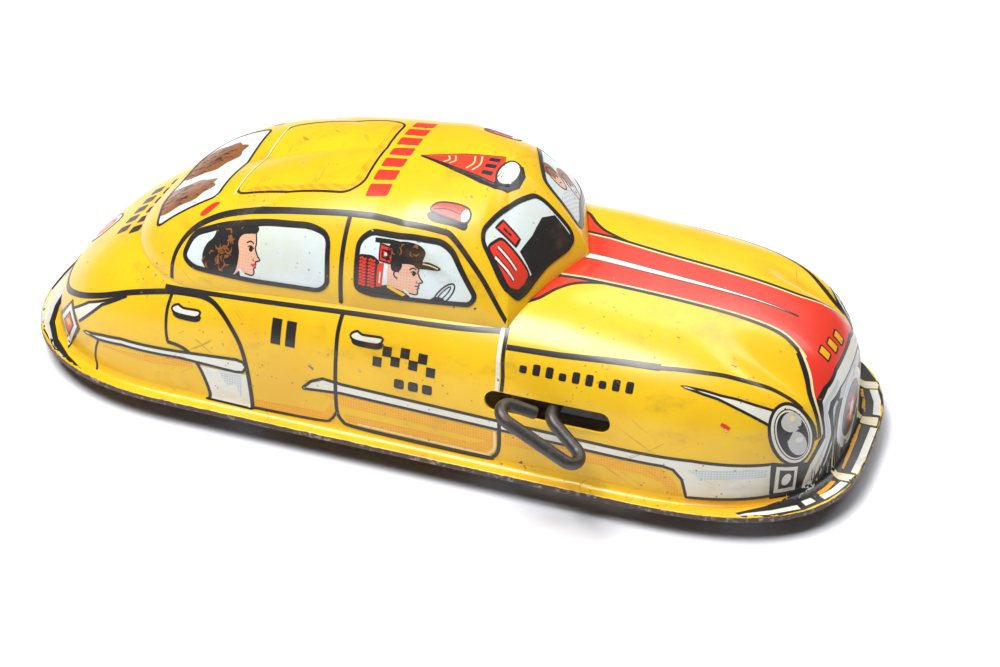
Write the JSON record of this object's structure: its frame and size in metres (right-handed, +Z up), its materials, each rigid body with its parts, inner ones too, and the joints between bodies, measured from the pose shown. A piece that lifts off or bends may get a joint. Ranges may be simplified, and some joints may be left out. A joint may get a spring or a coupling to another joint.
{
  "type": "wind-up tin toy taxi",
  "caption": "Clockwork pressed-tin toy taxi: printed lower body and cabin shells, strap frame, spring motor with wire winding key, driven front wheels and free rear axle.",
  "frame": {"origin": "centre of the bounding box on the floor, under the car between the wheels", "axes": "+X forward along the car, +Y to its left, +Z up; the key stands out on the right, towards -Y"},
  "size_m": [0.184, 0.0788, 0.0566],
  "materials": {
    "litho_tin": "glossy lithographed enamel, worn",
    "plated_steel": "dull zinc plate",
    "bright_steel": "drawn bright steel",
    "spring_steel": "blued",
    "key_wire": "blackened wire with light rust",
    "brass": "stamped, dull",
    "wheel_tin": "black enamel"
  },
  "bodies": {
    "car": {"lower_body": "litho_tin", "cabin": "litho_tin", "motor_plate_right": "plated_steel", "motor_plate_left": "plated_steel", "frame_pillars": "bright_steel", "front_strap": "plated_steel", "middle_strap": "plated_steel", "rear_bracket": "plated_steel", "mainspring": "spring_steel"},
    "winding": {"winding_arbor": "bright_steel", "winding_key": "key_wire", "ratchet_wheel": "brass"},
    "great": {"great_wheel": "brass", "click_rivet": "bright_steel", "click_spring": "spring_steel"},
    "click": {"click": "bright_steel"},
    "second": {"second_arbor": "bright_steel", "second_pinion": "brass", "second_wheel": "brass"},
    "drive": {"drive_axle": "bright_steel", "drive_pinion": "brass", "front_wheel_right": "wheel_tin", "front_wheel_left": "wheel_tin"},
    "rear": {"rear_axle": "bright_steel", "rear_wheel_right": "wheel_tin", "rear_wheel_left": "wheel_tin"}
  },
  "joints": [
    {"name": "drive_turn", "type": "hinge", "parent": "car", "child": "drive", "pos_m": [0.05676, 0.00398, 0.011], "axis": [0, 1, 0], "continuous": true},
    {"name": "second_turn", "type": "hinge", "parent": "car", "child": "second", "pos_m": [0.04808, 0.00398, 0.01928], "axis": [0, 1, 0], "continuous": true},
    {"name": "great_turn", "type": "hinge", "parent": "car", "child": "great", "pos_m": [0.0338, 0.00398, 0.0218], "axis": [0, 1, 0], "continuous": true},
    {"name": "key_turn", "type": "hinge", "parent": "car", "child": "winding", "pos_m": [0.0338, 0.00398, 0.0218], "axis": [0, 1, 0], "continuous": true},
    {"name": "click_lift", "type": "hinge", "parent": "great", "child": "click", "pos_m": [0.02722, 0.00398, 0.0256], "axis": [0, -1, 0], "range_deg": [0, 5], "stiffness_Nm_per_rad": 0.0005},
    {"name": "rear_turn", "type": "hinge", "parent": "car", "child": "rear", "pos_m": [-0.05, 0.00398, 0.011], "axis": [0, 1, 0], "continuous": true}
  ],
  "couplings": [
    {"joint": "second_turn", "follows": "drive_turn", "ratio": -0.33333},
    {"joint": "great_turn", "follows": "drive_turn", "ratio": 0.069444}
  ]
}
